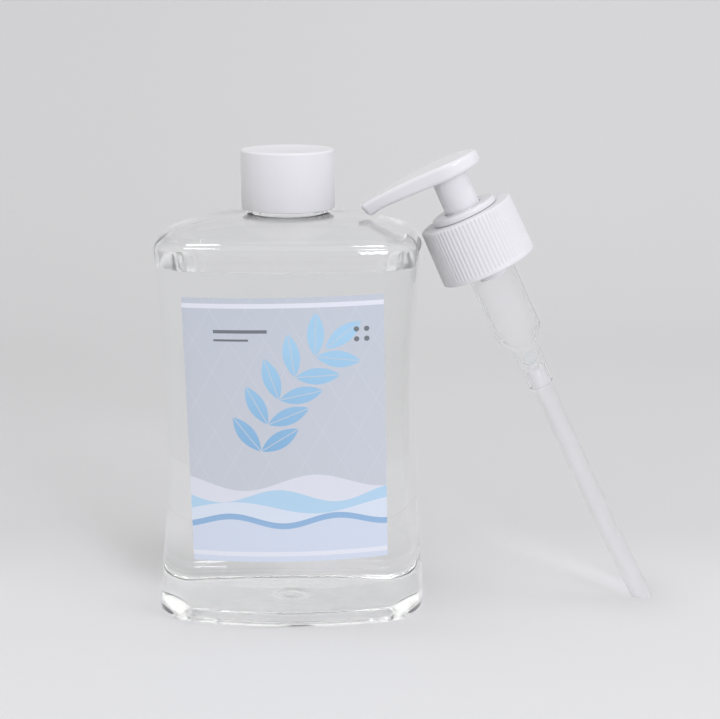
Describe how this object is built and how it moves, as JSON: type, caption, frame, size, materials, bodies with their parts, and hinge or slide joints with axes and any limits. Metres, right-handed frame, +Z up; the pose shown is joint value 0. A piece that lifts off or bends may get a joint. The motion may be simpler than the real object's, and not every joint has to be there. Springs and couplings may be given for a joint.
{
  "type": "pump oil bottle",
  "caption": "Clear waisted oil bottle with a white screw cap on; its lotion pump, with ribbed collar, spring mechanism and dip tube, leans against the shoulder.",
  "frame": {"origin": "on the floor under the middle of the bottle", "axes": "+Z up through the bottle's neck, +X across the bottle towards the leaning pump, -Y towards the label's side"},
  "size_m": [0.1713, 0.0638, 0.1547],
  "materials": {
    "clear_pet": "clear blown bottle, glossy",
    "clear_oil": "clear colourless oil",
    "label_film": "printed film label, satin",
    "white_plastic": "white moulded plastic, satin gloss",
    "foam_liner": "foam sealing disc",
    "translucent_plastic": "natural translucent plastic",
    "seal_plastic": "soft natural plastic seal",
    "gasket_foam": "soft gasket",
    "spring_steel": "stainless wire",
    "valve_glass": "small glass ball"
  },
  "bodies": {
    "bottle": {"bottle_shell": "clear_pet", "oil_fill": "clear_oil", "front_label": "label_film"},
    "cap_seal": {"cap_liner": "foam_liner"},
    "cap": {"cap_shell": "white_plastic"},
    "pump_head": {"actuator_head": "white_plastic", "stem": "white_plastic", "valve_seat": "white_plastic"},
    "upper_ball": {"outlet_ball": "valve_glass"},
    "pump_piston": {"piston": "seal_plastic"},
    "pump_body": {"housing": "translucent_plastic", "lock_ring": "white_plastic", "gasket": "gasket_foam", "dip_tube": "translucent_plastic", "spring": "spring_steel"},
    "lower_ball": {"inlet_ball": "valve_glass"},
    "collar": {"pump_closure": "white_plastic"}
  },
  "joints": [
    {"name": "cap_lift", "type": "slide", "parent": "bottle", "child": "cap_seal", "axis": [0, 0, 1], "range_m": [0, 0.0064]},
    {"name": "cap_turn", "type": "hinge", "parent": "cap_seal", "child": "cap", "pos_m": [0, 0, 0.145], "axis": [0, 0, 1], "range_deg": [0, 540]},
    {"name": "pump_lift", "type": "slide", "parent": "bottle", "child": "pump_head", "axis": [0, 0, 1], "range_m": [0, 0.15]},
    {"name": "head_turn", "type": "hinge", "parent": "pump_head", "child": "pump_piston", "pos_m": [0.06573, -0.0035, 0.1166], "axis": [-0.4226, 0, 0.9063], "continuous": true},
    {"name": "head_press", "type": "slide", "parent": "pump_piston", "child": "pump_body", "axis": [-0.4226, 0, 0.9063], "range_m": [0, 0.0108], "stiffness_N_per_m": 800, "springref_m": -0.01, "deforming": ["spring"]},
    {"name": "collar_spin", "type": "hinge", "parent": "pump_body", "child": "collar", "pos_m": [0.06573, -0.0035, 0.1166], "axis": [-0.4226, 0, 0.9063], "continuous": true},
    {"name": "outlet_valve", "type": "slide", "parent": "pump_head", "child": "upper_ball", "axis": [-0.4226, 0, 0.9063], "range_m": [0, 0.001]},
    {"name": "inlet_valve", "type": "slide", "parent": "pump_body", "child": "lower_ball", "axis": [-0.4226, 0, 0.9063], "range_m": [0, 0.0015]}
  ],
  "couplings": [
    {"joint": "cap_lift", "follows": "cap_turn", "m_per_rad": 0.0006737}
  ]
}
